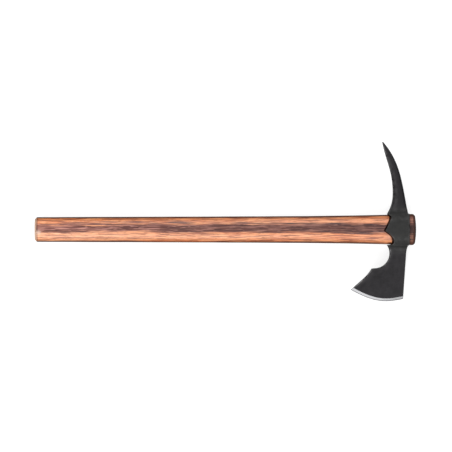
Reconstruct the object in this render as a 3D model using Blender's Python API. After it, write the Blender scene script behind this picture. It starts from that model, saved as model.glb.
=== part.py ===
"""Spike hatchet: a one-piece forged head that slips onto a flared wooden haft.

The hatchet lies on its side. +X runs along the haft to its top end, +Y to the tip of the spike,
and +Z up, out of the blade's side. The origin is on the flat of the lower cheek, under the middle
of the eye, so the haft's axis is CHEEK_HALF above it. Outlines are drawn in the plane of the blade,
in metres from the middle of the eye. The head comes off over the grip end of the haft.
"""

import math

import bmesh
import bpy
from mathutils import Vector

# Haft: a flattened oval that thickens from the butt to the eye, then flares through the eye.
HAFT_LENGTH = 0.486
HAFT_PROUD = 0.0091  # how far it stands out of the head's top face
BUTT_HEIGHT, BUTT_WIDTH = 0.0315, 0.0220
NECK_HEIGHT, NECK_WIDTH = 0.0378, 0.0262  # where the haft enters the eye
FLARE_HEIGHT, FLARE_WIDTH = 0.0022, 0.0014  # what the flare adds from there to the top end
GRIP_TAPER, HAFT_SWELL = 0.52, 7.0  # the share of the thickening that is even, and the exponent of the rest
OVAL = 2.3  # exponent of the oval section: 2 is an ellipse
BUTT_CHAMFER = 0.0025
TOP_ROUND = 0.0042
TOP_DOME = 0.0012

# Head: the eye in the middle, the spike at +Y and the bearded blade at -Y.
FIT_GAP = 0.0003  # between the haft and the wall of the eye
EYE_TOP = 0.0142  # the head's flat top face, from the middle of the eye
EYE_FOOT = -0.0132  # the tips of the two lugs, along the haft's upper and lower edges
CHEEK_WALL = 0.0049  # steel beside the haft where it enters the eye, on each side
CHEEK_RISE = 0.0036  # how far the cheeks' oval passes the haft above and below
CHEEK_FLAT = 1.03  # how far that oval would rise above the flats of the cheeks
CHEEK_POINT = -0.0167  # the point of the V on each cheek
THROAT_DEPTH = 0.0037  # from a lug to the deepest part of the V's arm beside it
THROAT_X, LOWER_THROAT_X = -0.0093, -0.0059
LUG_WALL = 0.0008  # steel over the haft where a lug or a corner of the top face begins
CORNER_ROUND = 0.0016  # at the two ends of the top face

SPIKE_REACH = 0.1119
SPIKE_TIP_X = -0.0194
SPIKE_TIP_WIDTH = 0.0012
SPIKE_WAIST_X, SPIKE_WAIST = -0.0065, 0.28  # the inner edge's narrowest place, as a share of its rise
SPIKE_BEND_X, SPIKE_BEND = 0.0099, 0.18  # where the outer edge leaves the flare at its root
SPIKE_ROOT_HALF, SPIKE_WAIST_HALF, SPIKE_TIP_HALF = 0.0072, 0.0060, 0.0011
SPIKE_CHAMFER = 0.0024

BLADE_REACH = 0.0885  # from the haft's axis to the heel
TOE_RISE = 0.0117  # how much nearer the toe is
TOE_X, HEEL_X = -0.0602, 0.0068
EDGE_DROP = 0.0053  # the cutting edge's curve below its heel
GRIND_WIDTH = 0.0038
NOTCH_RADIUS = 0.0192
NOTCH_X, NOTCH_DROP = -0.0295, 0.0105  # the notch's centre, below the lug
BEARD_X, BEARD_DROP = -0.0334, 0.0005  # the corner where the beard begins, below the notch
BACK_X, BACK_Y = 0.0103, -0.0320  # the back edge is straight from here to the heel
SHOULDER_DROP = 0.0031  # where it passes the beard's corner, below that corner
NECK_HALF, GRIND_HALF, EDGE_HALF = 0.0068, 0.0018, 0.0002
EDGE_CHAMFER = 0.0013  # along the outlines of the eye and the blade

AROUND = 40  # corners of the haft's section
ACROSS = 10  # faces across one side of the head


def clear_scene():
    for obj in list(bpy.data.objects):
        bpy.data.objects.remove(obj, do_unlink=True)


def material(name, color, roughness, metallic):
    made = bpy.data.materials.new(name)
    made.use_nodes = True
    shader = made.node_tree.nodes["Principled BSDF"]
    shader.inputs["Base Color"].default_value = (*color, 1.0)
    shader.inputs["Roughness"].default_value = roughness
    shader.inputs["Metallic"].default_value = metallic
    return made


def mix(a, b, t):
    return a + (b - a) * t


def smooth(t):
    return t * t * (3 - 2 * t)


def bezier(a, b, c, d, t):
    """The point at t on a cubic curve, whose ends are a and d."""
    s = 1 - t
    return s**3 * Vector(a) + 3 * s * s * t * Vector(b) + 3 * s * t * t * Vector(c) + t**3 * Vector(d)


def curve(a, b, c, d, steps=24):
    return [bezier(a, b, c, d, i / steps) for i in range(steps + 1)]


def joined(*pieces):
    """One polyline from several that meet end to end."""
    line = list(pieces[0])
    for piece in pieces[1:]:
        line += piece[1:]
    return line


def along(line, share):
    """The point at this share of a polyline's length."""
    lengths = [(b - a).length for a, b in zip(line, line[1:])]
    left = share * sum(lengths)
    for a, b, length in zip(line, line[1:], lengths):
        if left <= length:
            return a.lerp(b, left / length)
        left -= length
    return line[-1].copy()


def ring_solid(name, rings, first_cap, last_cap):
    """A closed mesh through rings of equal counts. Each cap is a list of faces, given as places in a ring."""
    bm = bmesh.new()
    made = [[bm.verts.new(point) for point in ring] for ring in rings]
    count = len(made[0])
    for one, two in zip(made, made[1:]):
        for i in range(count):
            j = (i + 1) % count
            bm.faces.new((one[i], one[j], two[j], two[i]))
    for face in first_cap:
        bm.faces.new([made[0][i] for i in face])
    for face in last_cap:
        bm.faces.new([made[-1][i] for i in face])
    bmesh.ops.recalc_face_normals(bm, faces=bm.faces)
    mesh = bpy.data.meshes.new(name)
    bm.to_mesh(mesh)
    bm.free()
    mesh.shade_smooth()
    mesh.set_sharp_from_angle(angle=math.radians(35))
    obj = bpy.data.objects.new(name, mesh)
    bpy.context.collection.objects.link(obj)
    return obj


# ---- haft ----

BUTT_X = EYE_TOP + HAFT_PROUD - HAFT_LENGTH
TOP_X = EYE_TOP + HAFT_PROUD


def haft_half(x, butt, neck, flare):
    """Half the haft's height or width at x."""
    if x >= EYE_FOOT:
        return (neck + flare * (x - EYE_FOOT) / (TOP_X - EYE_FOOT)) / 2
    along_grip = max(0.0, (x - BUTT_X) / (EYE_FOOT - BUTT_X))
    grown = GRIP_TAPER * along_grip + (1 - GRIP_TAPER) * along_grip**HAFT_SWELL
    return mix(butt, neck, grown) / 2


def haft_half_height(x):
    return haft_half(x, BUTT_HEIGHT, NECK_HEIGHT, FLARE_HEIGHT)


def haft_half_width(x):
    return haft_half(x, BUTT_WIDTH, NECK_WIDTH, FLARE_WIDTH)


def haft_ring(x, grow=0.0, sections_x=None):
    """The oval section at x, this much larger all round. sections_x is where its size is read, if not at x."""
    place = x if sections_x is None else sections_x
    height, width = haft_half_height(place) + grow, haft_half_width(place) + grow
    ring = []
    for i in range(AROUND):
        angle = math.tau * i / AROUND
        across, up = math.cos(angle), math.sin(angle)
        y = math.copysign(abs(across) ** (2 / OVAL), across) * height
        z = math.copysign(abs(up) ** (2 / OVAL), up) * width
        ring.append((x, y, z))
    return ring


def make_haft():
    rings = [haft_ring(BUTT_X, -BUTT_CHAMFER), haft_ring(BUTT_X + BUTT_CHAMFER)]
    grip_foot, grip_top = BUTT_X + BUTT_CHAMFER, EYE_FOOT
    steps = 24
    rings += [haft_ring(mix(grip_foot, grip_top, i / steps)) for i in range(1, steps + 1)]
    rings.append(haft_ring(mix(EYE_FOOT, EYE_TOP, 0.5)))
    round_foot = TOP_X - TOP_DOME - TOP_ROUND
    turns = 5
    for i in range(turns + 1):
        angle = math.pi / 2 * i / turns
        x = round_foot + TOP_ROUND * math.sin(angle)
        rings.append(haft_ring(x, TOP_ROUND * (math.cos(angle) - 1), round_foot))
    inner = min(haft_half_height(round_foot), haft_half_width(round_foot)) - TOP_ROUND
    for share in (0.45, 0.8):
        x = TOP_X - TOP_DOME * (1 - share) ** 2
        rings.append(haft_ring(x, -TOP_ROUND - inner * share, round_foot))
    cap = [list(range(AROUND))]
    return ring_solid("haft", rings, cap, cap)


def make_eye_cutter():
    """The haft's own shape through the eye, larger by the gap, and past both of the head's faces."""
    stations = [2 * CHEEK_POINT, CHEEK_POINT, EYE_FOOT, 0.0, EYE_TOP, 2 * EYE_TOP]
    rings = [haft_ring(x, FIT_GAP) for x in stations]
    cap = [list(range(AROUND))]
    cutter = ring_solid("eye_cutter", rings, cap, cap)
    cutter.hide_render = True
    cutter.display_type = "WIRE"
    return cutter


# ---- head ----
# It is a run of stations from the spike's tip to the cutting edge. Each station is a line across the
# outline, with the half thickness and the chamfer there.


CHEEK_HALF = NECK_WIDTH / 2 + CHEEK_WALL
LUG_Y = NECK_HEIGHT / 2 + LUG_WALL
THROAT_Y = LUG_Y - THROAT_DEPTH
CORNER_X, CORNER_Y = EYE_TOP - CORNER_ROUND, haft_half_height(EYE_TOP) + LUG_WALL
HEEL = Vector((HEEL_X, -BLADE_REACH))
TOE = Vector((TOE_X, TOE_RISE - BLADE_REACH))
NOTCH = Vector((NOTCH_X, -LUG_Y - NOTCH_DROP))
BEARD = Vector((BEARD_X, NOTCH.y - NOTCH_RADIUS - BEARD_DROP))
BACK = Vector((BACK_X, BACK_Y))


def cheek_half_thickness(y, beyond):
    """Half the head's thickness at this height in the eye, where beyond is that of the spike or the blade."""
    rise = 1 - min(1.0, abs(y) / (NECK_HEIGHT / 2 + CHEEK_RISE)) ** OVAL
    oval = CHEEK_FLAT * CHEEK_HALF * max(0.0, rise) ** (1 / OVAL)
    return min(CHEEK_HALF, (oval**4 + beyond**4) ** 0.25)


def straight(left, right):
    return lambda t: left.lerp(right, t)


def spike_half_thickness(share):
    """Half the spike's thickness at this share of its length from the eye."""
    if share < SPIKE_WAIST:
        return mix(SPIKE_ROOT_HALF, SPIKE_WAIST_HALF, share / SPIKE_WAIST)
    taper = ((share - SPIKE_WAIST) / (1 - SPIKE_WAIST)) ** 1.25
    return mix(SPIKE_WAIST_HALF, SPIKE_TIP_HALF, taper)


def spike_edges():
    """The spike's inner and outer edges, from the eye to the tip."""
    tip_left = Vector((SPIKE_TIP_X - SPIKE_TIP_WIDTH / 2, SPIKE_REACH - SPIKE_TIP_WIDTH / 3))
    tip_right = Vector((SPIKE_TIP_X + SPIKE_TIP_WIDTH / 2, SPIKE_REACH))
    waist = Vector((SPIKE_WAIST_X, mix(LUG_Y, SPIKE_REACH, SPIKE_WAIST)))
    bend = Vector((SPIKE_BEND_X, mix(CORNER_Y, SPIKE_REACH, SPIKE_BEND)))
    over_waist, over_bend = SPIKE_REACH - waist.y, SPIKE_REACH - bend.y
    inner = joined(
        curve((EYE_FOOT, LUG_Y), (-0.0113, LUG_Y + 0.0045), (waist.x, waist.y - 0.0138), waist),
        curve(waist, (waist.x, waist.y + 0.45 * over_waist), (-0.0141, waist.y + 0.56 * over_waist), tip_left),
    )
    outer = joined(
        curve((CORNER_X, CORNER_Y), (0.0119, CORNER_Y + 0.0040), (0.0107, bend.y - 0.0060), bend),
        curve(bend, (0.0052, bend.y + 0.32 * over_bend), (0.0024, bend.y + 0.68 * over_bend), tip_right),
    )
    return inner, outer


def spike_stations(steps=12):
    inner, outer = spike_edges()
    root = 0.15  # the share of the spike over which its chamfer grows to full size
    stations = []
    for i in range(steps + 1):
        share = 1 - (i / steps) ** 1.15
        left, right = along(inner, share), along(outer, share)
        half = cheek_half_thickness((left.y + right.y) / 2, spike_half_thickness(share))
        chamfer = mix(EDGE_CHAMFER, SPIKE_CHAMFER, min(1.0, share / root))
        chamfer = min(chamfer, 0.42 * half, 0.3 * (right - left).length)
        stations.append((straight(left, right), half, chamfer))
    return stations


def cheek_rim():
    """The eye's lower rim, from the lug under the spike to the lug over the blade, with the V between."""
    throat, lower_throat = Vector((THROAT_X, THROAT_Y)), Vector((LOWER_THROAT_X, -THROAT_Y))
    point = Vector((CHEEK_POINT, -0.07 * THROAT_Y))
    upper_arm = ((THROAT_X, 0.89 * THROAT_Y), (-0.0130, 0.33 * THROAT_Y))
    lower_arm = ((CHEEK_POINT, -0.21 * THROAT_Y), (LOWER_THROAT_X + 0.0002, -0.42 * THROAT_Y))
    depth = THROAT_DEPTH
    return joined(
        curve((EYE_FOOT, LUG_Y), (-0.0113, LUG_Y - 0.43 * depth), (-0.0092, LUG_Y - 0.57 * depth), throat, 6),
        curve(throat, *upper_arm, point, 8),
        curve(point, *lower_arm, lower_throat, 8),
        curve(lower_throat, (LOWER_THROAT_X, 0.14 * depth - LUG_Y), (-0.0090, -LUG_Y), (EYE_FOOT, -LUG_Y), 6),
    )


def eye_stations():
    stations = []
    rim = cheek_rim()
    for left in rim[1:-1]:
        share = (LUG_Y - left.y) / (2 * LUG_Y)
        right = Vector((EYE_TOP, mix(CORNER_Y, -CORNER_Y, share)))
        nearness = max(0.0, 1 - (CORNER_Y - abs(right.y)) / CORNER_ROUND)
        right.x -= CORNER_ROUND * (1 - math.sqrt(1 - nearness**2))
        beyond = mix(SPIKE_ROOT_HALF, NECK_HALF, smooth(share))
        stations.append((straight(left, right), cheek_half_thickness(left.y, beyond), EDGE_CHAMFER))
    return stations


def edge_line(t):
    """The cutting edge, from its toe to its heel."""
    near_toe = (mix(TOE.x, HEEL.x, 0.46), HEEL.y - EDGE_DROP)
    near_heel = (mix(TOE.x, HEEL.x, 0.67), HEEL.y - 0.87 * EDGE_DROP)
    return bezier(TOE, near_toe, near_heel, HEEL, t)


def bowed(left, right, share):
    """A line across the blade that takes this share of the cutting edge's bow."""
    return lambda t: left.lerp(right, t) + share * (edge_line(t) - TOE.lerp(HEEL, t))


def notch_line():
    """From the lower lug round the notch to the beard's corner."""
    start = math.asin((-LUG_Y - NOTCH.y) / NOTCH_RADIUS)
    steps = 16
    line = [Vector((EYE_FOOT, -LUG_Y))]
    for i in range(1, steps + 1):
        angle = mix(start, -math.pi / 2, i / steps)
        line.append(NOTCH + NOTCH_RADIUS * Vector((math.cos(angle), math.sin(angle))))
    return [*line, BEARD]


def blade_stations(notch_steps=11, beard_steps=7):
    shoulder = BACK.lerp(HEEL, (BEARD.y - SHOULDER_DROP - BACK.y) / (HEEL.y - BACK.y))
    fillet = curve((CORNER_X, -CORNER_Y), (0.0112, -CORNER_Y - 0.0024), (0.0106, BACK.y + 0.0052), BACK)
    notch, back = notch_line(), [*fillet, shoulder]
    hollow = Vector((BEARD.x - 0.0060, mix(BEARD.y, TOE.y, 0.36)))
    under = curve(BEARD, hollow, (TOE.x + 0.0180, TOE.y + 0.0160), TOE)
    grind = 1 - GRIND_WIDTH / (shoulder.y - HEEL.y)
    half_way = mix(NECK_HALF, GRIND_HALF, 0.5)
    stations = []
    for i in range(notch_steps):
        share = i / notch_steps
        left, right = along(notch, share), along(back, share)
        half = cheek_half_thickness(min(left.y, -LUG_Y), mix(NECK_HALF, half_way, share))
        stations.append((straight(left, right), half, EDGE_CHAMFER))
    for i in range(beard_steps + 1):
        share = i / beard_steps
        left, right = along(under, grind * share), shoulder.lerp(HEEL, grind * share)
        half = mix(half_way, GRIND_HALF, share)
        stations.append((bowed(left, right, share), half, min(EDGE_CHAMFER, 0.5 * half)))
    stations.append((edge_line, EDGE_HALF, 0.5 * EDGE_HALF))
    return stations


def station_ring(line, half, chamfer):
    """The closed ring of one station: across its upper side from left to right, and back below."""
    inset = chamfer / (line(1.0) - line(0.0)).length
    inner = [mix(inset, 1 - inset, i / (ACROSS - 2)) for i in range(ACROSS - 1)]
    shares = [0.0, *inner, 1.0]
    heights = [half - chamfer] + [half] * (ACROSS - 1) + [half - chamfer]
    points = [(line(share), z) for share, z in zip(shares, heights)]
    upper = [(p.x, p.y, z) for p, z in points]
    lower = [(p.x, p.y, -z) for p, z in reversed(points)]
    return upper + lower


def make_head(cutter):
    stations = spike_stations() + eye_stations() + blade_stations()
    rings = [station_ring(*station) for station in stations]
    last = len(rings[0]) - 1
    cap = [(i, i + 1, last - i - 1, last - i) for i in range(ACROSS)]
    head = ring_solid("head", rings, cap, cap)
    eye = head.modifiers.new("eye", "BOOLEAN")
    eye.operation = "DIFFERENCE"
    eye.solver = "EXACT"
    eye.object = cutter
    return head


def main():
    clear_scene()
    axis = bpy.data.objects.new("haft_axis", None)
    axis.location = (0.0, 0.0, CHEEK_HALF)
    bpy.context.collection.objects.link(axis)

    haft = make_haft()
    cutter = make_eye_cutter()
    head = make_head(cutter)
    for obj in (haft, cutter, head):
        obj.parent = axis
    haft.data.materials.append(material("hickory", (0.42, 0.20, 0.11), 0.38, 0.0))
    head.data.materials.append(material("phosphated_steel", (0.045, 0.045, 0.046), 0.5, 0.6))


main()
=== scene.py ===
# %% [markdown]
# # A spike hatchet
# The hatchet is two pieces: a forged head with a blackened finish, and a stick of stained hickory
# that goes through its eye. There is nothing to hide behind, so the work is in two outlines and
# two finishes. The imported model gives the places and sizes. This script makes the fine shapes
# around it, with the same outlines drawn more closely, and then the wood and the steel.

# %% The frame
import math

import bmesh
import bpy
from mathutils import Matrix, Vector, noise


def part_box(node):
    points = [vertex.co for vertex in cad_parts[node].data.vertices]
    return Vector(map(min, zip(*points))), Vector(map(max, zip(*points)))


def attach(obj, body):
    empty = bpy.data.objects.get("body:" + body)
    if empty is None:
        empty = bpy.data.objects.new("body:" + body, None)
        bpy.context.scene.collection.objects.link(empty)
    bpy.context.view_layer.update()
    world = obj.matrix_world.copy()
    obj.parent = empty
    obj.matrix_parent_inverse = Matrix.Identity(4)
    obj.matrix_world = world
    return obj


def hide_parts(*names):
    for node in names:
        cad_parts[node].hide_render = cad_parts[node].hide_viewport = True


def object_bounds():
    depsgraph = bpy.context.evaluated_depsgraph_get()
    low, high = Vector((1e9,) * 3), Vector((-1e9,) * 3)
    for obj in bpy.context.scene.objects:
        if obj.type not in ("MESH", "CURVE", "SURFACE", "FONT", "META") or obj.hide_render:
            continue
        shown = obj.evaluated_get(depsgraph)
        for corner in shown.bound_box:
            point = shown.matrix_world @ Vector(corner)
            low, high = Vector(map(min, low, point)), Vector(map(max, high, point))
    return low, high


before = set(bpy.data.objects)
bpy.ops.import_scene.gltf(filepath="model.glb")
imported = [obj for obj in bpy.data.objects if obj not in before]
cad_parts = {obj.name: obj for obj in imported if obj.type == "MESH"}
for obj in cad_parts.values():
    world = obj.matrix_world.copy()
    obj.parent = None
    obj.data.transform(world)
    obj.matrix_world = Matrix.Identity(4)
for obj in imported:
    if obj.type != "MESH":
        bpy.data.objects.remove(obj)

cad_box = [list(corner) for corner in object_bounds()]
haft_low, haft_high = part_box("haft")
head_low, head_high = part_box("head")
AXIS_Z = (head_low[2] + head_high[2]) / 2
BUTT_X, TOP_X = haft_low[0], haft_high[0]
print("haft from", round(BUTT_X, 4), "to", round(TOP_X, 4), "on an axis at", round(AXIS_Z, 4))

# %% [markdown]
# ## Camera
# The hatchet is seen square on to the side of the blade, so the camera looks straight down on it
# with the spike at the top of the view. A long lens keeps the cheeks, which stand nearest, from
# sliding over the outline behind them.

# %% The camera
LENS, SENSOR = 200.0, 36.0
VIEW_WIDTH = 0.5766  # what the view spans at the haft's axis
VIEW_SHIFT = Vector((0.0006, -0.0058, 0.0))  # from the hatchet's middle to the view's

low, high = (Vector(corner) for corner in cad_box)
middle = (low + high) / 2 + VIEW_SHIFT
camera = bpy.data.objects.new("camera", bpy.data.cameras.new("camera"))
camera.data.lens = LENS
camera.data.sensor_width = SENSOR
camera.data.clip_end = 50.0
camera.location = (middle.x, middle.y, AXIS_Z + VIEW_WIDTH * LENS / SENSOR)
bpy.context.collection.objects.link(camera)
bpy.context.scene.camera = camera
bpy.context.scene.view_settings.view_transform = "Standard"
print("camera", round(camera.location.z, 3), "m above the floor")

# %% [markdown]
# ## Light
# A dark finish shows what it reflects, so the steel needs a dark space around the lens, and soft
# boxes off to the sides to shape it. The same two boxes roll off round the haft and leave its
# edges dark. A third, weak one reaches the end of the haft, which the others pass by.

# %% Soft boxes


def soft_box(name, place, size, power):
    """A rectangular light that faces the haft, with its long side along it."""
    light = bpy.data.lights.new(name, "AREA")
    light.shape = "RECTANGLE"
    light.size, light.size_y = size
    light.energy = power
    obj = bpy.data.objects.new(name, light)
    obj.location = place
    aim = Vector((min(0.0, place[0]), 0.0, 0.0)) - Vector(place)
    obj.rotation_euler = aim.to_track_quat("-Z", "Y").to_euler()
    obj.visible_camera = False
    bpy.context.collection.objects.link(obj)
    print(name, power, "W")


soft_box("key_box", (-0.62, -1.00, 1.20), (1.9, 1.3), 31.0)
soft_box("fill_box", (-0.20, 1.20, 1.15), (1.9, 1.0), 21.0)
soft_box("end_box", (1.25, 0.0, 0.90), (0.9, 0.9), 2.8)

# %% [markdown]
# ## Node maths as Python
# A wood grain or a turned shape is a page of sums. Wired by hand that is a hundred Math nodes, so
# one small class wraps a node's output and turns Python's own operators into those nodes. It works
# in a material and in Geometry Nodes alike, since both use the same Math node.

# %% Sockets and trees


class Socket:
    """An output that Python can add, take away, multiply, divide and raise to a power."""

    def __init__(self, tree, output):
        self.tree, self.output = tree, output

    def math(self, operation, *others, clamp=False):
        values = dict(enumerate((self, *others)))
        return self.tree.add("ShaderNodeMath", values, operation=operation, use_clamp=clamp)

    def __add__(self, other):
        return self.math("ADD", other)

    def __sub__(self, other):
        return self.math("SUBTRACT", other)

    def __mul__(self, other):
        return self.math("MULTIPLY", other)

    def __truediv__(self, other):
        return self.math("DIVIDE", other)

    def __pow__(self, other):
        return self.math("POWER", other)

    def __rsub__(self, other):
        return self.math("MULTIPLY", -1.0).math("ADD", other)

    def __abs__(self):
        return self.math("ABSOLUTE")

    __radd__, __rmul__ = __add__, __mul__

    def clamp(self):
        """Kept between 0 and 1."""
        return self.math("ADD", 0.0, clamp=True)

    def smooth(self, start, end):
        """0 before start and 1 after end, with a soft step between. Start may be the larger."""
        share = ((self - start) / (end - start)).clamp()
        return share * share * (3.0 - share * 2.0)


class Tree:
    """A node tree, with one method that adds any node to it, and a few that use it."""

    def __init__(self, tree):
        self.tree = tree

    def add(self, kind, sockets=None, out=0, stops=None, **settings):
        """Adds a node: its settings, then a ramp's stops, then its sockets' values or links."""
        node = self.tree.nodes.new(kind)
        for name, value in settings.items():
            setattr(node, name, value)
        if stops:
            ramp = node.color_ramp.elements
            ramp.remove(ramp[1])
            ramp[0].position, ramp[0].color = stops[0][0], (*stops[0][1], 1.0)
            for place, color in stops[1:]:
                ramp.new(place).color = (*color, 1.0)
        for key, value in (sockets or {}).items():
            if isinstance(value, Socket):
                self.tree.links.new(value.output, node.inputs[key])
            else:
                node.inputs[key].default_value = value
        return Socket(self, node.outputs[out])

    def split(self, vector):
        """A vector's three parts."""
        first = self.add("ShaderNodeSeparateXYZ", {0: vector})
        return [Socket(self, output) for output in first.output.node.outputs]

    def point(self, x, y, z):
        return self.add("ShaderNodeCombineXYZ", {0: x, 1: y, 2: z})

    def blend(self, share, one, two):
        """Colour one where share is 0 and colour two where it is 1.

        A Mix node's sockets share their names, so its colours are known by number.
        """
        colors = {0: share, 6: one, 7: two}
        for key in (6, 7):
            if not isinstance(colors[key], Socket):
                colors[key] = (*colors[key], 1.0)
        return self.add("ShaderNodeMix", colors, out=2, data_type="RGBA")

    def tint(self, color, amount):
        """A colour made lighter or darker by a value."""
        return self.add("ShaderNodeVectorMath", {0: color, 3: amount}, operation="SCALE")

    def noise(self, vector, scale=1.0, detail=3.0, roughness=0.5):
        sockets = {"Vector": vector, "Scale": scale, "Detail": detail, "Roughness": roughness}
        return self.add("ShaderNodeTexNoise", sockets)


# %% Materials


def start_material(name):
    """(material, its tree, its Principled node)"""
    made = bpy.data.materials.new(name)
    made.use_nodes = True
    return made, Tree(made.node_tree), made.node_tree.nodes["Principled BSDF"]


def feed(tree, shader, values):
    """Links each value to the shader's socket of that name."""
    for name, value in values.items():
        tree.tree.links.new(value.output, shader.inputs[name])


print("node maths is ready")

# %% [markdown]
# ## Floor
# The floor is almost white by its own light, which keeps shadows faint, and it is hidden from the
# object's reflections so that it doesn't fill the dark edges in. It glows a little more farther
# out, where the soft boxes don't reach, so that it meets the background with no line. It is made
# clear from below, where the hatchet can then be looked at too.

# %% The floor
FLOOR_WHITE, FLOOR_GLOW, FAR_GLOW = 0.35, 0.80, 1.0
GLOW_GROWS = (0.4, 2.2)  # how far out the glow begins to grow, and stops
FLOOR_REACH, FLOOR_DROP = 9.0, 0.0002


def pale_floor():
    made, tree, shader = start_material("pale_floor")
    shader.inputs["Base Color"].default_value = (FLOOR_WHITE, FLOOR_WHITE, FLOOR_WHITE, 1.0)
    shader.inputs["Roughness"].default_value = 1.0
    shader.inputs["Specular IOR Level"].default_value = 0.0
    shader.inputs["Emission Strength"].default_value = 1.0
    x, y, _ = tree.split(tree.add("ShaderNodeTexCoord", out="Object"))
    outward = ((x * x + y * y) ** 0.5).smooth(*GLOW_GROWS)
    glow = tree.blend(outward, (FLOOR_GLOW,) * 3, (FAR_GLOW,) * 3)
    feed(tree, shader, {"Emission Color": glow})
    below = tree.add("ShaderNodeNewGeometry", out="Backfacing")
    clear = tree.add("ShaderNodeBsdfTransparent")
    lit = Socket(tree, shader.outputs["BSDF"])
    both = tree.add("ShaderNodeMixShader", {0: below, 1: lit, 2: clear})
    surface = made.node_tree.nodes["Material Output"].inputs["Surface"]
    made.node_tree.links.new(both.output, surface)
    return made


corners = [(-1, -1, 0), (1, -1, 0), (1, 1, 0), (-1, 1, 0)]
floor_mesh = bpy.data.meshes.new("floor")
floor_mesh.from_pydata([Vector(corner) * FLOOR_REACH for corner in corners], [], [(0, 1, 2, 3)])
floor_mesh.materials.append(pale_floor())
floor = bpy.data.objects.new("floor", floor_mesh)
floor.location.z = low.z - FLOOR_DROP
floor.visible_diffuse = floor.visible_glossy = False
bpy.context.collection.objects.link(floor)
print("floor at", round(floor.location.z, 4))

# %% [markdown]
# ## The space around
# The camera sees plain white behind everything, but the hatchet is lit by a much darker space, so
# that its edges turn dark against the white.

# %% The space around
SPACE_LIGHT = 0.14  # what the object sees all round it

world = bpy.data.worlds.new("space")
bpy.context.scene.world = world
world.use_nodes = True
space = Tree(world.node_tree)
seen = space.add("ShaderNodeLightPath", out="Is Camera Ray")
brightness = seen + (1.0 - seen) * SPACE_LIGHT
backing = world.node_tree.nodes["Background"]
backing.inputs["Color"].default_value = (1.0, 1.0, 1.0, 1.0)
world.node_tree.links.new(brightness.output, backing.inputs["Strength"])
print("space light", SPACE_LIGHT)

# %% [markdown]
# ## The haft
# A haft is one rule: an oval section that grows along a line, so Geometry Nodes can make it. A
# cylinder gives the net of points. Each point then moves to its place on the oval, with a flat
# chamfer at the butt and a rolled, slightly domed top end. Its few sizes are the tree's inputs.

# %% Sizes of the haft and the eye
HAFT_PROUD = 0.0091
EYE_TOP, EYE_FOOT = TOP_X - HAFT_PROUD, -0.0132
BUTT_HEIGHT, BUTT_WIDTH = 0.0315, 0.0220
NECK_HEIGHT, NECK_WIDTH = 0.0378, 0.0262
FLARE_HEIGHT, FLARE_WIDTH = 0.0022, 0.0014  # what the haft gains through the eye and above it
OVAL = 2.3  # the exponent of the section: 2 is an ellipse
GRIP_TAPER, HAFT_SWELL = 0.52, 7.0  # the even share of the thickening, and the rest's exponent
BUTT_CHAMFER, TOP_ROUND, TOP_DOME = 0.0025, 0.0042, 0.0012
HAND_WORK = 0.00016  # how far the shaped surface wanders from true


def grown(share):
    """How much of its thickening the grip has at a share of its length, a number or a socket."""
    return share * GRIP_TAPER + share**HAFT_SWELL * (1 - GRIP_TAPER)


print("the grip grows from", BUTT_HEIGHT, "to", NECK_HEIGHT, "m high")

# %% The haft's tree


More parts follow.
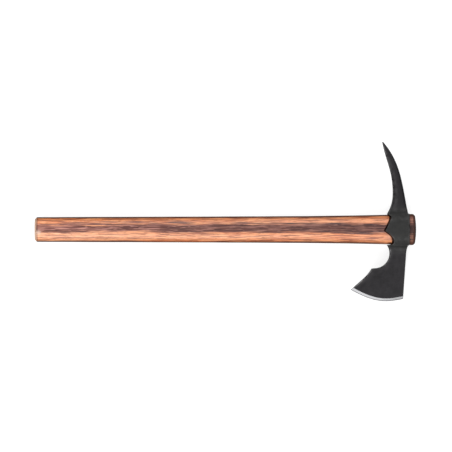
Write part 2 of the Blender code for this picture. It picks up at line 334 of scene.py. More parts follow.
def haft_tree(material):
    """Geometry Nodes for the haft, along X, with the middle of its section at Z = 0."""
    group = bpy.data.node_groups.new("haft_shape", "GeometryNodeTree")
    sizes = {
        "Butt X": BUTT_X,
        "Top X": TOP_X,
        "Foot X": EYE_FOOT,
        "Butt Height": BUTT_HEIGHT,
        "Butt Width": BUTT_WIDTH,
        "Neck Height": NECK_HEIGHT,
        "Neck Width": NECK_WIDTH,
        "Flare Height": FLARE_HEIGHT,
        "Flare Width": FLARE_WIDTH,
        "Chamfer": BUTT_CHAMFER,
        "Round": TOP_ROUND,
        "Dome": TOP_DOME,
    }
    for name, value in sizes.items():
        made = group.interface.new_socket(name, in_out="INPUT", socket_type="NodeSocketFloat")
        made.default_value = value
    group.interface.new_socket("Geometry", in_out="OUTPUT", socket_type="NodeSocketGeometry")
    tree = Tree(group)
    entry = group.nodes.new("NodeGroupInput")
    size = {name: Socket(tree, entry.outputs[name]) for name in sizes}
    net = {"Vertices": 128, "Side Segments": 230, "Fill Segments": 12, "Radius": 1.0, "Depth": 1.0}
    cylinder = tree.add("GeometryNodeMeshCylinder", net, fill_type="TRIANGLE_FAN")
    px, py, pz = tree.split(tree.add("GeometryNodeInputPosition"))
    radius = (px * px + py * py) ** 0.5

    butt_share, top_share = 0.04, 0.92  # where the chamfer ends and the top's round begins
    share = pz + 0.5
    low_part = (share / butt_share).clamp()
    body = ((share - butt_share) / (top_share - butt_share)).clamp()
    turn = ((share - top_share) / (1 - top_share)).clamp() * (math.pi / 2)
    body_end = size["Top X"] - size["Dome"] - size["Round"]
    body_start = size["Butt X"] + size["Chamfer"]
    x = size["Butt X"] + size["Chamfer"] * low_part + (body_end - body_start) * body
    x = x + size["Round"] * turn.math("SINE")
    on_top = share.math("GREATER_THAN", 0.999)
    x = x + on_top * size["Dome"] * (1.0 - radius * radius)
    inset = size["Chamfer"] * (1.0 - low_part) + size["Round"] * (1.0 - turn.math("COSINE"))

    where = x.math("MINIMUM", body_end)
    grip = grown(((where - size["Butt X"]) / (size["Foot X"] - size["Butt X"])).clamp())
    flare = ((where - size["Foot X"]) / (size["Top X"] - size["Foot X"])).clamp()

    def half(kind):
        butt, neck = size["Butt " + kind], size["Neck " + kind]
        return (butt + (neck - butt) * grip + size["Flare " + kind] * flare) * 0.5 - inset

    def oval(part, reach):
        """One coordinate on the oval, from the cosine or sine of its angle."""
        share_of = part / radius
        return share_of.math("SIGN") * abs(share_of) ** (2 / OVAL) * reach * radius

    y, z = oval(px, half("Height")), oval(py, half("Width"))
    wander = tree.noise(tree.point(x * 22.0, y * 60.0, z * 60.0), detail=1.0) - 0.5
    out = wander * (2 * HAND_WORK) * (1.0 - flare.smooth(0.0, 0.05))
    place = tree.point(x, y + out * px, z + out * py)
    moved = tree.add("GeometryNodeSetPosition", {"Geometry": cylinder, "Position": place})
    smooth = tree.add("GeometryNodeSetShadeSmooth", {"Geometry": moved})
    real = tree.add("GeometryNodeRealizeInstances", {"Geometry": smooth})
    done = tree.add("GeometryNodeSetMaterial", {"Geometry": real, "Material": material})
    leave = group.nodes.new("NodeGroupOutput")
    group.links.new(done.output, leave.inputs["Geometry"])
    return group


# %% [markdown]
# ## Hickory
# The stick was sawn so that a streak of brown heartwood runs down the middle of both its faces,
# with paler sapwood above and below. Growth lines, pores and flecks all run along the haft, so
# every pattern is noise that is pulled long in X. Sawn ends show the same layers end on. The stain
# is heavy where end grain drinks it, at the proud top end. Painted shade darkens both narrow sides
# and a line beside the head's rim, and painted light makes the sapwood lighter below the middle.

# %% Wood colours and places
SAP_LIGHT, SAP, SAP_DARK = (0.88, 0.352, 0.172), (0.72, 0.218, 0.080), (0.20, 0.046, 0.019)
SAP_ORANGE, SAP_GOLD, SAP_PALE = (0.70, 0.200, 0.055), (1.0, 0.47, 0.21), (0.92, 0.45, 0.255)
HEART, HEART_LIGHT = (0.104, 0.034, 0.027), (0.36, 0.165, 0.128)
HEART_DARK = (0.036, 0.011, 0.009)
RAW_END, TOP_END, SCUFF_PALE = (0.74, 0.50, 0.36), (0.075, 0.027, 0.018), (0.62, 0.46, 0.38)
STAIN_AND_SHADE, SEAT_SHADE, PROUD_PINK = (0.030, 0.008, 0.006), (0.010, 0.004, 0.003), (0.42, 0.175, 0.160)

HEART_Y, HEART_HALF = (0.0019, 0.0009), (0.0046, 0.0062)  # toward the butt, toward the head
NARROW_SHADE = (0.855, 0.925)  # shares of the half height where the painted shade begins and is full
BUTT_RING = ((0.0022, 0.0028), (0.0048, 0.0032))  # each edge of the ring, faint and full
PROUD_STAIN = 0.002  # how far down in the eye the proud end's stain begins
SCUFF, SCUFF_EDGE = (BUTT_X + 0.0052, -0.0036), (0.0042, 0.0012)
PITH, RING_WIDTH = (0.012, -0.034), 0.0021  # the rings' middle in Y and Z, and one ring's width
RAW_EDGE, TOP_FACE = (0.0026, 0.0021), (0.0054, 0.0036)  # from the butt, and from the top end
print("heartwood", round(2000 * HEART_HALF[0], 1), "mm high at the butt")

# %% The grain


class Grain:
    """Noise that is drawn out along the haft, from broad bands to short flecks."""

    def __init__(self, tree, x, y, z):
        sway = tree.noise(tree.point(x * 5.0, y * 20.0, z * 20.0), detail=1.0) - 0.5
        self.y = y + sway * 0.004

        def along(pull, across, detail=2.0):
            """So many waves a metre along the haft, and so many across it."""
            place = tree.point(x * pull, self.y * across, z * across * 0.55)
            return tree.noise(place, detail=detail)

        self.bands = along(5.0, 170.0)
        self.lines = along(13.0, 520.0)
        self.fine = along(45.0, 1000.0)
        self.flecks = along(120.0, 1300.0, 1.0)
        self.glints = along(95.0, 1050.0, 1.0)
        self.dashes = along(38.0, 880.0, 1.0)


# %% Sapwood and heartwood


def sapwood(tree, x, y, grain):
    """The sapwood's colour, lighter below the middle and more orange above it toward the butt."""
    sap = tree.blend(grain.bands.smooth(0.40, 0.60), SAP, SAP_LIGHT)
    # painted light: darker above the middle, as the key box lights the haft from below
    sap = tree.blend(y.smooth(-0.003, 0.004) * 0.45, sap, SAP)
    orange = y.smooth(0.0, 0.006) * x.smooth(-0.14, -0.40)
    sap = tree.blend(orange * 0.75, sap, SAP_ORANGE)
    # painted light: paler below the middle toward the butt
    pale = y.smooth(0.001, -0.004) * x.smooth(-0.30, -0.42)
    sap = tree.blend(pale * 0.60, sap, SAP_PALE)
    streaks = grain.lines.smooth(0.45, 0.36) * 0.50 + grain.dashes.smooth(0.47, 0.36) * 0.85
    streaks = streaks + grain.glints.smooth(0.41, 0.34) * 0.35
    sap = tree.blend(streaks.clamp() * 0.85, sap, SAP_DARK)
    sap = tree.blend(grain.dashes.smooth(0.53, 0.63) * 0.50, sap, SAP_GOLD)
    return tree.tint(sap, 0.72 + grain.fine * 0.40 + x.smooth(-0.33, -0.45) * 0.14)


def heartwood(tree, x, grain):
    """The heartwood's colour, with light streaks between its dark lines, darker by the head."""
    heart = tree.blend(grain.lines.smooth(0.50, 0.64) * 0.35, HEART, HEART_LIGHT)
    heart = tree.blend(grain.dashes.smooth(0.54, 0.64) * 0.80, heart, HEART_LIGHT)
    heart = tree.blend(grain.dashes.smooth(0.44, 0.34) * 0.80, heart, HEART_DARK)
    heart = tree.blend(grain.glints.smooth(0.60, 0.68) * 0.70, heart, HEART_LIGHT)
    return tree.tint(heart, 1.60 - x.smooth(-0.46, -0.20) * 0.62 - x.smooth(-0.20, -0.02) * 0.24)


def heart_share(x, grain):
    """1 in the heartwood, which is a streak with ragged edges that widens toward the head."""
    middle_y = HEART_Y[0] + x.smooth(-0.24, -0.02) * (HEART_Y[1] - HEART_Y[0])
    half = HEART_HALF[0] + x.smooth(-0.50, -0.24) * (HEART_HALF[1] - HEART_HALF[0])
    past = abs(grain.y - middle_y) - half + (grain.lines - 0.5) * 0.0065
    past = past + (grain.dashes - 0.5) * 0.008 + (grain.bands - 0.5) * 0.004
    return past.smooth(0.0024, -0.0022)


# %% Stain, wear and cut ends


def stained_and_shaded(tree, x, y, grain, in_heart, wood):
    """(the stained wood, 1 on the proud end, 1 under the head's rim)

    Stain lies in a ring by the butt and on the proud end. Painted shade darkens both narrow sides,
    where the oval turns away from the light, and a line beside the rim, where the gap is in shade.
    """
    along_grip = ((x - BUTT_X) / (EYE_FOOT - BUTT_X)).clamp()
    half_height = BUTT_HEIGHT / 2 + grown(along_grip) * ((NECK_HEIGHT - BUTT_HEIGHT) / 2)
    # painted shade on both narrow sides, where the oval turns away from the light
    narrow_shade = (abs(y) / half_height + (grain.lines - 0.5) * 0.28).smooth(*NARROW_SHADE) * 0.95
    from_butt = x - BUTT_X
    ring = from_butt.smooth(*BUTT_RING[0]) * from_butt.smooth(*BUTT_RING[1]) * 0.62
    lower = y.smooth(0.003, -0.005)
    in_sap = 1.0 - in_heart
    soaked = 0.97 - grain.lines.smooth(0.44, 0.56) * in_sap * (0.34 - lower * 0.17)
    proud = x.smooth(EYE_TOP - PROUD_STAIN, EYE_TOP) * soaked
    dark = narrow_shade.math("MAXIMUM", ring).math("MAXIMUM", proud)
    wood = tree.blend(dark, wood, tree.blend(0.10, STAIN_AND_SHADE, wood))
    # pink streaks in the sapwood on the proud end, stronger above the middle
    pink_streaks = proud * grain.lines.smooth(0.40, 0.56) * in_sap * (1.0 - narrow_shade)
    wood = tree.blend(pink_streaks * (0.55 - lower * 0.33), wood, PROUD_PINK)
    # painted shade: a dark line on the wood beside the head's rim, where the gap is in shade
    seat = painted_rim_shade(tree, x, y) * (1.0 - proud)
    return tree.blend(seat * 0.97, wood, SEAT_SHADE), proud, seat


def scuffed(tree, x, y, height, grain, wood):
    """The wood with a pale scuff where the butt has been set down, to one side of the ring."""
    away = ((x - SCUFF[0]) ** 2 + (y - SCUFF[1]) ** 2) ** 0.5 + (grain.fine - 0.5) * 0.004
    above = height.smooth(AXIS_Z, AXIS_Z + 0.004)
    return tree.blend(away.smooth(*SCUFF_EDGE) * above * 0.62, wood, SCUFF_PALE)


def with_cut_ends(tree, x, y, z, in_heart, wood):
    """(the wood with its end grain, 1 on the butt's raw chamfer, 1 in the ends' open pores)

    Both ends show growth rings, round a pith that lies outside the stick. The butt's chamfer is
    cut after the stain, through clean wood.
    """
    up, out = y - PITH[0], z - PITH[1]
    radius = (up * up + out * out) ** 0.5
    waver = tree.noise(tree.point(x * 40.0, y * 160.0, z * 160.0)) * 0.0016
    rings = ((radius + waver) * (math.tau / RING_WIDTH)).math("SINE").smooth(-0.2, 0.9)
    speck = tree.noise(tree.point(x * 300.0, y * 2600.0, z * 2600.0), detail=1.0)
    speck = speck.smooth(0.56, 0.68)
    top_face = x.smooth(TOP_X - TOP_FACE[0], TOP_X - TOP_FACE[1])
    top_wood = tree.tint(TOP_END, 1.25 - rings * 0.45 - speck * 0.35 - in_heart * 0.35)
    wood = tree.blend(top_face * 0.92, wood, top_wood)
    raw = (x - BUTT_X).smooth(*RAW_EDGE)
    raw_wood = tree.blend(in_heart * 0.30, RAW_END, HEART_LIGHT)
    raw_wood = tree.tint(raw_wood, 1.12 - rings * 0.26 - speck * 0.35)
    return tree.blend(raw, wood, raw_wood), raw, speck * (raw + top_face)


# %% The whole haft's wood


def hickory():
    made, tree, shader = start_material("stained_hickory")
    x, y, height = tree.split(tree.add("ShaderNodeTexCoord", out="Object"))
    z = height - AXIS_Z
    grain = Grain(tree, x, y, z)
    in_heart = heart_share(x, grain)
    wood = tree.blend(in_heart, sapwood(tree, x, y, grain), heartwood(tree, x, grain))
    pores = grain.flecks.smooth(0.42, 0.34) * (1.0 - in_heart * 0.5)
    wood = tree.blend(pores * 0.50, wood, SAP_DARK)
    wood, proud, seat = stained_and_shaded(tree, x, y, grain, in_heart, wood)
    wood = scuffed(tree, x, y, height, grain, wood)
    wood, raw, pitted = with_cut_ends(tree, x, y, z, in_heart, wood)

    relief = grain.fine * 0.5 + grain.lines * 0.4 - pores * 0.6 - pitted * 0.5
    bump = tree.add("ShaderNodeBump", {"Height": relief, "Distance": 0.00025, "Strength": 0.6})
    matt = 0.38 + pores * 0.2 + raw * 0.35 + proud * 0.18 + grain.fine * 0.10
    lacquer = (1.0 - raw) * (1.0 - proud * 0.8) * (1.0 - seat) * 0.20
    # the painted shade beside the rim, and under the head, gets no shine, as a metallic base this
    # dark has none
    look = {"Base Color": wood, "Metallic": seat * 0.95, "Roughness": matt}
    feed(tree, shader, {**look, "Normal": bump, "Coat Weight": lacquer})
    shader.inputs["Coat Roughness"].default_value = 0.24
    print(made.name, len(made.node_tree.nodes), "nodes")
    return made


# %% [markdown]
# A line of painted shade lies on the wood beside the head's rim, where the gap between wood and
# steel is in shade. It follows the rim: a lug along the top edge, a straight arm down to the point
# of the V, and a rounder arm back to the lower lug.
# The rim is one X for each Y, so a ramp over Y can hold it.

# %% The painted shade by the rim
CHEEK_POINT, THROAT_DEPTH, LUG_WALL = -0.0167, 0.0037, 0.0008
THROAT_X, LOWER_THROAT_X = -0.0093, -0.0059
LUG_Y = NECK_HEIGHT / 2 + LUG_WALL
THROAT_Y = LUG_Y - THROAT_DEPTH
SHADE_WIDTH, SHADE_CORE = 0.0025, 0.0014  # how far from the rim the painted shade is faint, and full
COVERED, COVERED_PALER = (0.0004, 0.0035), 0.38
RAMP_REACH = 0.02  # the ramp spans this far to both sides of the haft's axis


def painted_rim_shade(tree, x, y):
    """1 on a narrow line beside the head's rim, and rather less on the wood the head covers."""
    # painted shade, drawn into the wood's colour along the rim
    stops = []
    # a ramp holds up to 32 stops, so every third point of the rim is used
    for place, rim_x in sorted((point.y, point.x) for point in cheek_rim()[::3]):
        level = -rim_x / RAMP_REACH
        stops.append(((place + RAMP_REACH) / (2 * RAMP_REACH), (level, level, level)))
    share = (y + RAMP_REACH) / (2 * RAMP_REACH)
    rim_at = tree.add("ShaderNodeValToRGB", {"Fac": share}, stops=stops) * -RAMP_REACH
    past = x - rim_at
    return past.smooth(-SHADE_WIDTH, -SHADE_CORE) * (1.0 - past.smooth(*COVERED) * COVERED_PALER)


print("the mark is", round(1000 * SHADE_WIDTH, 1), "mm wide outside the rim")

# %% [markdown]
# ## Outlines of the head
# The outline is drawn as arcs and cubic curves in the plane of the blade. It is then walked from
# the spike's tip to the cutting edge, in stations that cross from one side of the outline to the
# other. Each station knows how thick the steel is there, so the whole head is one net of points.

# %% Curves


def mix(a, b, t):
    return a + (b - a) * t


def smooth(t):
    return t * t * (3 - 2 * t)


def bezier(a, b, c, d, t):
    """The point at t on a cubic curve, whose ends are a and d."""
    s = 1 - t
    near = s**3 * Vector(a) + 3 * s * s * t * Vector(b)
    return near + 3 * s * t * t * Vector(c) + t**3 * Vector(d)


def curve(a, b, c, d, steps=48):
    return [bezier(a, b, c, d, i / steps) for i in range(steps + 1)]


def joined(*pieces):
    """One polyline from several that meet end to end."""
    line = list(pieces[0])
    for piece in pieces[1:]:
        line += piece[1:]
    return line


def along_line(line, share):
    """The point at this share of a polyline's length."""
    lengths = [(b - a).length for a, b in zip(line, line[1:])]
    left = share * sum(lengths)
    for a, b, length in zip(line, line[1:], lengths):
        if left <= length:
            return a.lerp(b, left / length)
        left -= length
    return line[-1].copy()


# %% Sizes of the head
FIT_GAP = 0.0003  # between the haft and the eye
CHEEK_HALF = (head_high[2] - head_low[2]) / 2
CHEEK_RISE, CHEEK_FLAT = 0.0036, 1.03  # how far the oval passes the haft, and the cut flat
CORNER_ROUND = 0.0016
ROOT_SWELL, SWELL_REACH = 0.0022, 0.0075  # thicker where spike and blade leave the eye
FILLET, BLEND, BLEND_STEPS = 3.0, 0.0052, 4  # how softly the eye runs into spike and blade
SPIKE_REACH, SPIKE_TIP_X, SPIKE_TIP_WIDTH = head_high[1], -0.0194, 0.0012
SPIKE_WAIST_X, SPIKE_WAIST = -0.0065, 0.28
SPIKE_BEND_X, SPIKE_BEND = 0.0099, 0.18
SPIKE_ROOT_HALF, SPIKE_WAIST_HALF, SPIKE_TIP_HALF = 0.0072, 0.0060, 0.0011
SPIKE_CROWN = 0.27
SPIKE_ROUND = 0.0034  # how far the rounding of the spike's edges comes in
SPIKE_ROOT = 0.16  # the share of the spike over which its rounding grows to full size
SPIKE_TAPER = 1.25  # the exponent of the spike's thinning past its waist
BLADE_REACH, TOE_RISE = 0.0885, 0.0117
TOE_X, HEEL_X = -0.0602, 0.0068
EDGE_DROP, GRIND_WIDTH, HONE_WIDTH = 0.0053, 0.0038, 0.0009  # the edge's bow and two strips
NOTCH_RADIUS, NOTCH_X, NOTCH_DROP = 0.0192, -0.0295, 0.0105
BEARD_X, BEARD_DROP = -0.0334, 0.0005
BACK_X, BACK_Y, SHOULDER_DROP = 0.0103, -0.0320, 0.0031
NECK_HALF, GRIND_HALF, EDGE_HALF = 0.0068, 0.0018, 0.0002  # half the blade's thickness
EDGE_ROUND = 0.0013

CORNER_X = EYE_TOP - CORNER_ROUND
HEEL, TOE = Vector((HEEL_X, -BLADE_REACH)), Vector((TOE_X, TOE_RISE - BLADE_REACH))
NOTCH = Vector((NOTCH_X, -LUG_Y - NOTCH_DROP))
BEARD = Vector((BEARD_X, NOTCH.y - NOTCH_RADIUS - BEARD_DROP))
BACK = Vector((BACK_X, BACK_Y))


def haft_half(x, butt, neck, flare):
    """Half the haft's height or width at x."""
    if x >= EYE_FOOT:
        return (neck + flare * (x - EYE_FOOT) / (TOP_X - EYE_FOOT)) / 2
    along_grip = max(0.0, (x - BUTT_X) / (EYE_FOOT - BUTT_X))
    return mix(butt, neck, grown(along_grip)) / 2


def haft_half_height(x):
    return haft_half(x, BUTT_HEIGHT, NECK_HEIGHT, FLARE_HEIGHT)


def haft_half_width(x):
    return haft_half(x, BUTT_WIDTH, NECK_WIDTH, FLARE_WIDTH)


CORNER_Y = haft_half_height(EYE_TOP) + LUG_WALL
EYE_END_Y = (LUG_Y + CORNER_Y) / 2
print("the eye is", round(2000 * CHEEK_HALF, 1), "mm thick over the cheeks")

# %% The spike's edges and the cheeks' rim


def spike_edges():
    """The spike's inner and outer edges, from the eye to the tip."""
    tip_left = Vector((SPIKE_TIP_X - SPIKE_TIP_WIDTH / 2, SPIKE_REACH - SPIKE_TIP_WIDTH / 3))
    tip_right = Vector((SPIKE_TIP_X + SPIKE_TIP_WIDTH / 2, SPIKE_REACH))
    waist = Vector((SPIKE_WAIST_X, mix(LUG_Y, SPIKE_REACH, SPIKE_WAIST)))
    bend = Vector((SPIKE_BEND_X, mix(CORNER_Y, SPIKE_REACH, SPIKE_BEND)))
    over_waist, over_bend = SPIKE_REACH - waist.y, SPIKE_REACH - bend.y
    above_waist = (waist.x, waist.y + 0.45 * over_waist)
    over_back = ((0.0052, bend.y + 0.32 * over_bend), (0.0024, bend.y + 0.68 * over_bend))
    inner = joined(
        curve((EYE_FOOT, LUG_Y), (-0.0113, LUG_Y + 0.0045), (waist.x, waist.y - 0.0138), waist),
        curve(waist, above_waist, (-0.0141, waist.y + 0.56 * over_waist), tip_left),
    )
    outer = joined(
        curve((CORNER_X, CORNER_Y), (0.0119, CORNER_Y + 0.0040), (0.0107, bend.y - 0.0060), bend),
        curve(bend, *over_back, tip_right),
    )
    return inner, outer


def cheek_rim():
    """The eye's lower rim, from the lug by the spike to the lug by the blade, with its V."""
    throat, lower_throat = Vector((THROAT_X, THROAT_Y)), Vector((LOWER_THROAT_X, -THROAT_Y))
    point = Vector((CHEEK_POINT, -0.07 * THROAT_Y))
    upper_arm = ((THROAT_X, 0.89 * THROAT_Y), (-0.0130, 0.33 * THROAT_Y))
    lower_arm = ((CHEEK_POINT, -0.21 * THROAT_Y), (LOWER_THROAT_X + 0.0002, -0.42 * THROAT_Y))
    depth = THROAT_DEPTH
    upper_lug = ((-0.0113, LUG_Y - 0.43 * depth), (-0.0092, LUG_Y - 0.57 * depth))
    lower_lug = ((LOWER_THROAT_X, 0.14 * depth - LUG_Y), (-0.0090, -LUG_Y))
    return joined(
        curve((EYE_FOOT, LUG_Y), *upper_lug, throat, 12),
        curve(throat, *upper_arm, point, 24),
        curve(point, *lower_arm, lower_throat, 24),
        curve(lower_throat, *lower_lug, (EYE_FOOT, -LUG_Y), 12),
    )


def edge_line(t):
    """The cutting edge, from its toe to its heel."""
    near_toe = (mix(TOE.x, HEEL.x, 0.46), HEEL.y - EDGE_DROP)
    near_heel = (mix(TOE.x, HEEL.x, 0.67), HEEL.y - 0.87 * EDGE_DROP)
    return bezier(TOE, near_toe, near_heel, HEEL, t)


NOTCH_STEPS = 48


def notch_line():
    """From the lower lug round the notch to the beard's corner."""
    start = math.asin((-LUG_Y - NOTCH.y) / NOTCH_RADIUS)
    line = [Vector((EYE_FOOT, -LUG_Y))]
    for i in range(1, NOTCH_STEPS + 1):
        angle = mix(start, -math.pi / 2, i / NOTCH_STEPS)
        line.append(NOTCH + NOTCH_RADIUS * Vector((math.cos(angle), math.sin(angle))))
    return [*line, BEARD]


print("rim drawn with", len(cheek_rim()), "points")

# %% [markdown]
# ## Stations
# A station is a line across the outline, half the steel's thickness there, how far its edges are
# rounded, how crowned it is, and how far it stands from the cutting edge. The cheeks are an oval a
# few millimetres outside the haft, cut off flat, and it flows into the spike and the blade. The
# blade's last stations take on the bow of the cutting edge, so that the ground bevel is even.

# %% Thickness


def unblended(y, beyond):
    """Half the thickness of a plain oval cheek, cut off flat, that stands on what is beyond it."""
    rise = 1 - min(1.0, abs(y) / (NECK_HEIGHT / 2 + CHEEK_RISE)) ** OVAL
    oval = CHEEK_FLAT * CHEEK_HALF * max(0.0, rise) ** (1 / OVAL)
    return min(CHEEK_HALF, (oval**FILLET + beyond**FILLET) ** (1 / FILLET))


def cheek_half_thickness(y, beyond):
    """Half the head's thickness at this height, with its corners blended as forging does."""
    steps = range(-BLEND_STEPS, BLEND_STEPS + 1)
    weights = [BLEND_STEPS + 1 - abs(i) for i in steps]
    near = [unblended(y + BLEND * i / BLEND_STEPS, beyond) for i in steps]
    return sum(w * half for w, half in zip(weights, near)) / sum(weights)


def root_swell(past):
    """What half the thickness gains this far past the eye, where the steel was drawn out."""
    return ROOT_SWELL * math.exp(-max(0.0, past) / SWELL_REACH)


def spike_half_thickness(share):
    """Half the spike's thickness at this share of its length from the eye."""
    if share < SPIKE_WAIST:
        return mix(SPIKE_ROOT_HALF, SPIKE_WAIST_HALF, share / SPIKE_WAIST)
    taper = ((share - SPIKE_WAIST) / (1 - SPIKE_WAIST)) ** SPIKE_TAPER
    return mix(SPIKE_WAIST_HALF, SPIKE_TIP_HALF, taper)


# %% Stations of the spike, the eye and the blade


def straight(left, right):
    return lambda t: left.lerp(right, t)


def bowed(left, right, share):
    """A line across the blade that takes this share of the cutting edge's bow."""
    return lambda t: left.lerp(right, t) + share * (edge_line(t) - TOE.lerp(HEEL, t))


def make_station(line, half, rounding, crown=0.0):
    """crown is how far the surface falls from its middle to its edges, as a share of half."""
    return {"line": line, "half": half, "round": rounding, "crown": crown, "rise": None}


def spike_stations(steps=110):
    inner, outer = spike_edges()
    found = []
    for i in range(steps + 1):
        share = 1 - (i / steps) ** 1.15  # a little closer together toward the tip
        left, right = along_line(inner, share), along_line(outer, share)
        middle_y = (left.y + right.y) / 2
        beyond = spike_half_thickness(share) + root_swell(middle_y - EYE_END_Y)
        half = cheek_half_thickness(middle_y, beyond)
        forged = smooth(min(1.0, share / SPIKE_ROOT))
        rounding = mix(EDGE_ROUND, SPIKE_ROUND, forged)  # as far as the steel has room for it
        rounding = min(rounding, 0.62 * half, 0.36 * (right - left).length)
        found.append(make_station(straight(left, right), half, rounding, SPIKE_CROWN * forged))
    return found


def eye_stations():
    found = []
    for left in cheek_rim()[1:-1]:
        share = (LUG_Y - left.y) / (2 * LUG_Y)
        right = Vector((EYE_TOP, mix(CORNER_Y, -CORNER_Y, share)))
        nearness = max(0.0, 1 - (CORNER_Y - abs(right.y)) / CORNER_ROUND)
        right.x -= CORNER_ROUND * (1 - math.sqrt(1 - nearness**2))
        beyond = mix(SPIKE_ROOT_HALF, NECK_HALF, smooth(share)) + ROOT_SWELL
        half = cheek_half_thickness(mix(EYE_END_Y, -EYE_END_Y, share), beyond)
        found.append(make_station(straight(left, right), half, EDGE_ROUND))
    return found


def blade_stations(notch_steps=60, beard_steps=48):
    shoulder = BACK.lerp(HEEL, (BEARD.y - SHOULDER_DROP - BACK.y) / (HEEL.y - BACK.y))
    to_back = ((0.0112, -CORNER_Y - 0.0024), (0.0106, BACK.y + 0.0052))
    fillet = curve((CORNER_X, -CORNER_Y), *to_back, BACK)
    notch, back = notch_line(), [*fillet, shoulder]
    hollow = Vector((BEARD.x - 0.0060, mix(BEARD.y, TOE.y, 0.36)))
    under = curve(BEARD, hollow, (TOE.x + 0.0180, TOE.y + 0.0160), TOE)
    drop = shoulder.y - HEEL.y
    grind, hone = 1 - GRIND_WIDTH / drop, 1 - HONE_WIDTH / drop
    beard_past = -EYE_END_Y - (BEARD.y + shoulder.y) / 2
    half_way = mix(NECK_HALF, GRIND_HALF, 0.5)
    found = []
    for i in range(notch_steps):
        share = i / notch_steps
        left, right = along_line(notch, share), along_line(back, share)
        y = min((left.y + right.y) / 2, -EYE_END_Y)
        beyond = mix(NECK_HALF, half_way, share) + root_swell(-EYE_END_Y - y)
        half = cheek_half_thickness(y, beyond)
        found.append(make_station(straight(left, right), half, EDGE_ROUND))
    for i in range(beard_steps + 1):
        share = i / beard_steps
        left, right = along_line(under, grind * share), shoulder.lerp(HEEL, grind * share)
        half = mix(half_way, GRIND_HALF, share) + root_swell(beard_past) * (1 - share)
        rounding = min(EDGE_ROUND, mix(0.5, 0.25, share**3) * half)
        found.append(make_station(bowed(left, right, share), half, rounding))
    return found + ground_stations(under, shoulder, grind, hone)


def ground_stations(under, shoulder, grind, hone):
    """The ground bevel, with its two lines kept crisp, and the honed strip along the edge."""
    crisp = 0.0035
    hone_half = mix(EDGE_HALF, GRIND_HALF, 0.42)
    found = []
    runs = ((grind, hone, GRIND_HALF, hone_half), (hone, 1.0, hone_half, EDGE_HALF))
    for start, end, thick, thin in runs:
        for part in (crisp, 0.25, 0.5, 0.75, 1 - crisp, 1.0):
            share = mix(start, end, part)
            left, right = along_line(under, share), shoulder.lerp(HEEL, share)
            half = mix(thick, thin, part)
            made = make_station(bowed(left, right, 1.0), half, 0.12 * half)
            made["rise"] = (1 - share) * (shoulder.y - HEEL.y)
            found.append(made)
    return found


stations = spike_stations() + eye_stations() + blade_stations()
print(len(stations), "stations from the spike's tip to the cutting edge")

# %% [markdown]
# ## The head's mesh
# Each station becomes a ring: over the upper side, round one edge, back along the lower side. The
# rounding is a quarter of an ellipse. Hammer work leaves the faces a little uneven, which is what
# breaks up the reflections, so a low wave is added except where the steel was ground. Two maps go
# with the points, and the Boolean keeps them: where a point lies on its station, and how far it is
# from the outline and from the cutting edge.

# %% Rings
ACROSS, ROUND_STEPS = 44, 7
HAMMERED, HAMMER_WAVES = 0.00012, 130  # the unevenness, and its waves in a metre
CUT_WALL = (0.5, 0.01, 0.05)  # what the maps say on the wall of the eye, far from every edge
SHARP = math.radians(32.0)  # a sharper turn than this between two faces is a crease


def cross_shares(station):
    """(share of the station, distance from the outline) for each point on one side."""
    length = (station["line"](1.0) - station["line"](0.0)).length
    rounding = station["round"]
    near = []
    for i in range(ROUND_STEPS):
        angle = math.pi / 2 * i / ROUND_STEPS
        near.append(rounding * (1 - math.cos(angle)))
    inner = [mix(rounding, length - rounding, i / ACROSS) for i in range(ACROSS + 1)]
    places = near + inner + [length - d for d in reversed(near)]
    return [(place / length, min(place, length - place)) for place in places]


def ring_points(station):
    """The ring's points, each with its two maps."""
    half, rounding, crown = station["half"], station["round"], station["crown"]
    rise = station["rise"]
    points = []
    for share, inset in cross_shares(station):
        place = station["line"](share)
        height = half * (1 - crown * (2 * share - 1) ** 2)
        if inset < rounding:
            height -= rounding * (1 - math.sqrt(max(0.0, 1 - (1 - inset / rounding) ** 2)))
        if rise is None:
            wave = noise.noise(Vector((place.x, place.y, 0.3)) * HAMMER_WAVES)
            height = min(CHEEK_HALF, height + HAMMERED * (wave - 0.4))
        gap = rise if rise is not None else max(GRIND_WIDTH + 1e-4, place.y + BLADE_REACH)
        points.append((place, height, share, inset, gap))
    upper = [(p.x, p.y, AXIS_Z + h) for p, h, *_ in points]
    lower = [(p.x, p.y, AXIS_Z - h) for p, h, *_ in reversed(points)]
    facts = [(share, inset, gap) for _, _, share, inset, gap in points]
    return upper + lower, facts + facts[::-1]


def solid_from_rings(name, rings, facts=None, cap_strip=False):
    """A closed mesh through rings of equal counts, with the maps lay and rim."""
    bm = bmesh.new()
    lay, rim = bm.loops.layers.uv.new("lay"), bm.loops.layers.uv.new("rim")
    made = [[bm.verts.new(point) for point in ring] for ring in rings]
    count = len(made[0])
    known = {}
    for row, ring in enumerate(made):
        for i, vert in enumerate(ring):
            share, inset, gap = facts[row][i] if facts else CUT_WALL
            known[vert] = ((share, row / len(made)), (inset, gap))
    for one, two in zip(made, made[1:]):
        for i in range(count):
            j = (i + 1) % count
            bm.faces.new((one[i], one[j], two[j], two[i]))
    for ring in (made[0], made[-1]):
        if cap_strip:
            for i in range(count // 2 - 1):
                bm.faces.new((ring[i], ring[i + 1], ring[count - i - 2], ring[count - i - 1]))
        else:
            bm.faces.new(ring)
    for face in bm.faces:
        for loop in face.loops:
            loop[lay].uv, loop[rim].uv = known[loop.vert]
    bmesh.ops.recalc_face_normals(bm, faces=bm.faces)
    mesh = bpy.data.meshes.new(name)
    bm.to_mesh(mesh)
    bm.free()
    obj = bpy.data.objects.new(name, mesh)
    bpy.context.collection.objects.link(obj)
    return obj


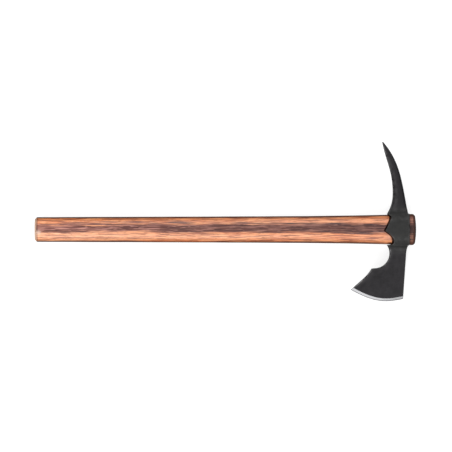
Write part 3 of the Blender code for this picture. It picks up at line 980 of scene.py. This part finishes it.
def finished(obj, name):
    """obj's evaluated mesh as a plain object of its own. The working object is removed."""
    graph = bpy.context.evaluated_depsgraph_get()
    mesh = bpy.data.meshes.new_from_object(obj.evaluated_get(graph))
    mesh.name = name
    mesh.shade_smooth()
    mesh.set_sharp_from_angle(angle=SHARP)
    bpy.data.objects.remove(obj, do_unlink=True)
    made = bpy.data.objects.new(name, mesh)
    bpy.context.collection.objects.link(made)
    print(name, len(mesh.polygons), "faces")
    return made


# %% Cutting the eye


def oval_ring(x, grow, around=160):
    height, width = haft_half_height(x) + grow, haft_half_width(x) + grow
    ring = []
    for i in range(around):
        angle = math.tau * i / around
        across, up = math.cos(angle), math.sin(angle)
        y = math.copysign(abs(across) ** (2 / OVAL), across) * height
        z = math.copysign(abs(up) ** (2 / OVAL), up) * width
        ring.append((x, y, AXIS_Z + z))
    return ring


def make_head():
    rings, facts = zip(*(ring_points(station) for station in stations))
    blank = solid_from_rings("head_blank", rings, facts, cap_strip=True)
    places = [2 * CHEEK_POINT, CHEEK_POINT, EYE_FOOT, 0.0, EYE_TOP, 2 * EYE_TOP]
    cutter = solid_from_rings("eye_cutter", [oval_ring(x, FIT_GAP) for x in places])
    cut = blank.modifiers.new("eye", "BOOLEAN")
    cut.operation, cut.solver, cut.object = "DIFFERENCE", "EXACT", cutter
    made = finished(blank, "forged_head")
    bpy.data.objects.remove(cutter, do_unlink=True)
    return made


head = make_head()

# %% [markdown]
# ## Blackened steel
# The head is phosphated: a fine crystalline grey-black that scatters light and shows faint clouds
# where the forging scale was. Its edges turn a lighter grey, partly wear and partly a painted
# highlight, stronger on the side toward the butt, where the key light stands. The bevel is ground
# through the finish to bare steel, with scratches running down to the edge, and the last strip is
# honed at a steeper angle.

# %% Steel
DARK_BLADE, DARK_EYE = (0.0100, 0.0086, 0.0108), (0.0190, 0.0190, 0.0185)
THIN_AND_LIT_BLACK = (0.034, 0.032, 0.034)
WORN_AND_LIT, BARE = (0.165, 0.162, 0.165), (0.24, 0.24, 0.247)
CRISP = 0.00006  # how softly the finish ends at the grind


def blackened_steel():
    made, tree, shader = start_material("blackened_steel")
    here = tree.add("ShaderNodeTexCoord", out="Object")
    x, y, z = tree.split(here)
    lay, *_ = tree.split(tree.add("ShaderNodeUVMap", uv_map="lay"))
    inset, gap, _ = tree.split(tree.add("ShaderNodeUVMap", uv_map="rim"))

    clouds = tree.noise(here, scale=55.0, detail=5.0, roughness=0.6)
    patches = tree.noise(here, scale=210.0, detail=3.0)
    crystals = tree.noise(here, scale=2600.0, detail=2.0)
    near_eye = abs(y).smooth(0.034, 0.020)
    dark = tree.blend(near_eye, DARK_BLADE, DARK_EYE)
    dark = tree.tint(dark, 0.10 + clouds * 0.90 + patches * 0.60 + crystals * 0.30)

    # painted highlight: lighter black on the spike's inner flank, which faces the key light, and
    # thinner black where a hand or sheath rubs along the notch
    seated = abs(y).smooth(LUG_Y, LUG_Y - 0.002) * x.smooth(0.0, -0.003)
    lit_flank = (1.0 - lay.smooth(0.28, 0.52)) * y.smooth(0.024, 0.038) * patches.smooth(0.25, 0.60)
    notch = inset.smooth(0.0060, 0.0010) * (1.0 - lay.smooth(0.15, 0.50))
    notch = notch * y.smooth(-0.020, -0.024)
    thin = lit_flank.math("MAXIMUM", notch * clouds.smooth(0.35, 0.60)) * (1.0 - seated)
    dark = tree.blend(thin * 0.85, dark, THIN_AND_LIT_BLACK)

    # painted highlight, partly wear: a lighter grey band just inside the outline
    rub_and_highlight = inset.smooth(0.0017, 0.0006) * inset.smooth(0.0, 0.0004) * patches.smooth(0.34, 0.62)
    # painted light: stronger on the side toward the butt, where the key light stands
    key_side = 1.0 - lay.smooth(0.35, 0.75) * 0.65
    finish = tree.blend(rub_and_highlight * key_side * (1.0 - seated * 0.75) * 0.95, dark, WORN_AND_LIT)

    ground = gap.smooth(GRIND_WIDTH + CRISP, GRIND_WIDTH - CRISP)
    scratch_place = tree.point(lay * 900.0, gap * 500.0, z * 500.0)
    scratches = tree.noise(scratch_place, detail=3.0)
    bare = tree.tint(BARE, 0.80 + scratches * 0.40)
    color = tree.blend(ground, finish, bare)

    metal = 0.35 + ground * 0.65
    matt = 0.94 - clouds * 0.45 - patches * 0.30 + crystals * 0.06 - rub_and_highlight * 0.10
    matt = matt * (1.0 - ground) + (0.34 + scratches * 0.16) * ground
    relief = crystals * 0.20 + patches * 0.8
    relief = relief * (1.0 - ground) + scratches * ground * 0.10
    bump = tree.add("ShaderNodeBump", {"Height": relief, "Distance": 0.00022, "Strength": 0.7})
    feed(tree, shader, {"Base Color": color, "Metallic": metal, "Roughness": matt, "Normal": bump})
    print(made.name, len(made.node_tree.nodes), "nodes")
    return made


head.data.materials.clear()
head.data.materials.append(blackened_steel())

# %% [markdown]
# ## Making the haft
# The tree goes on an empty mesh as a modifier, the evaluated result becomes a plain mesh, and the
# modifier goes with the working object.

# %% The haft's mesh


def make_haft():
    holder = bpy.data.objects.new("haft_holder", bpy.data.meshes.new("haft_holder"))
    bpy.context.collection.objects.link(holder)
    shape = holder.modifiers.new("shape", "NODES")
    shape.node_group = haft_tree(hickory())
    for item in shape.node_group.interface.items_tree:
        if item.in_out == "INPUT":
            shape[item.identifier] = item.default_value
    made = finished(holder, "hickory_haft")
    for vert in made.data.vertices:
        vert.co.z += AXIS_Z
    return made


haft = make_haft()

# %% [markdown]
# ## Fastening the pieces to the frame
# The two pieces stand for the two solids of the imported model, and each rides on its body, so that
# the head slides down the haft when the joint moves.

# %% Bodies
for piece, node, slot_name in ((haft, "haft", "haft_wood"), (head, "head", "head_steel")):
    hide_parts(node)
    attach(piece, node)
    print(piece.name, "rides on", node)
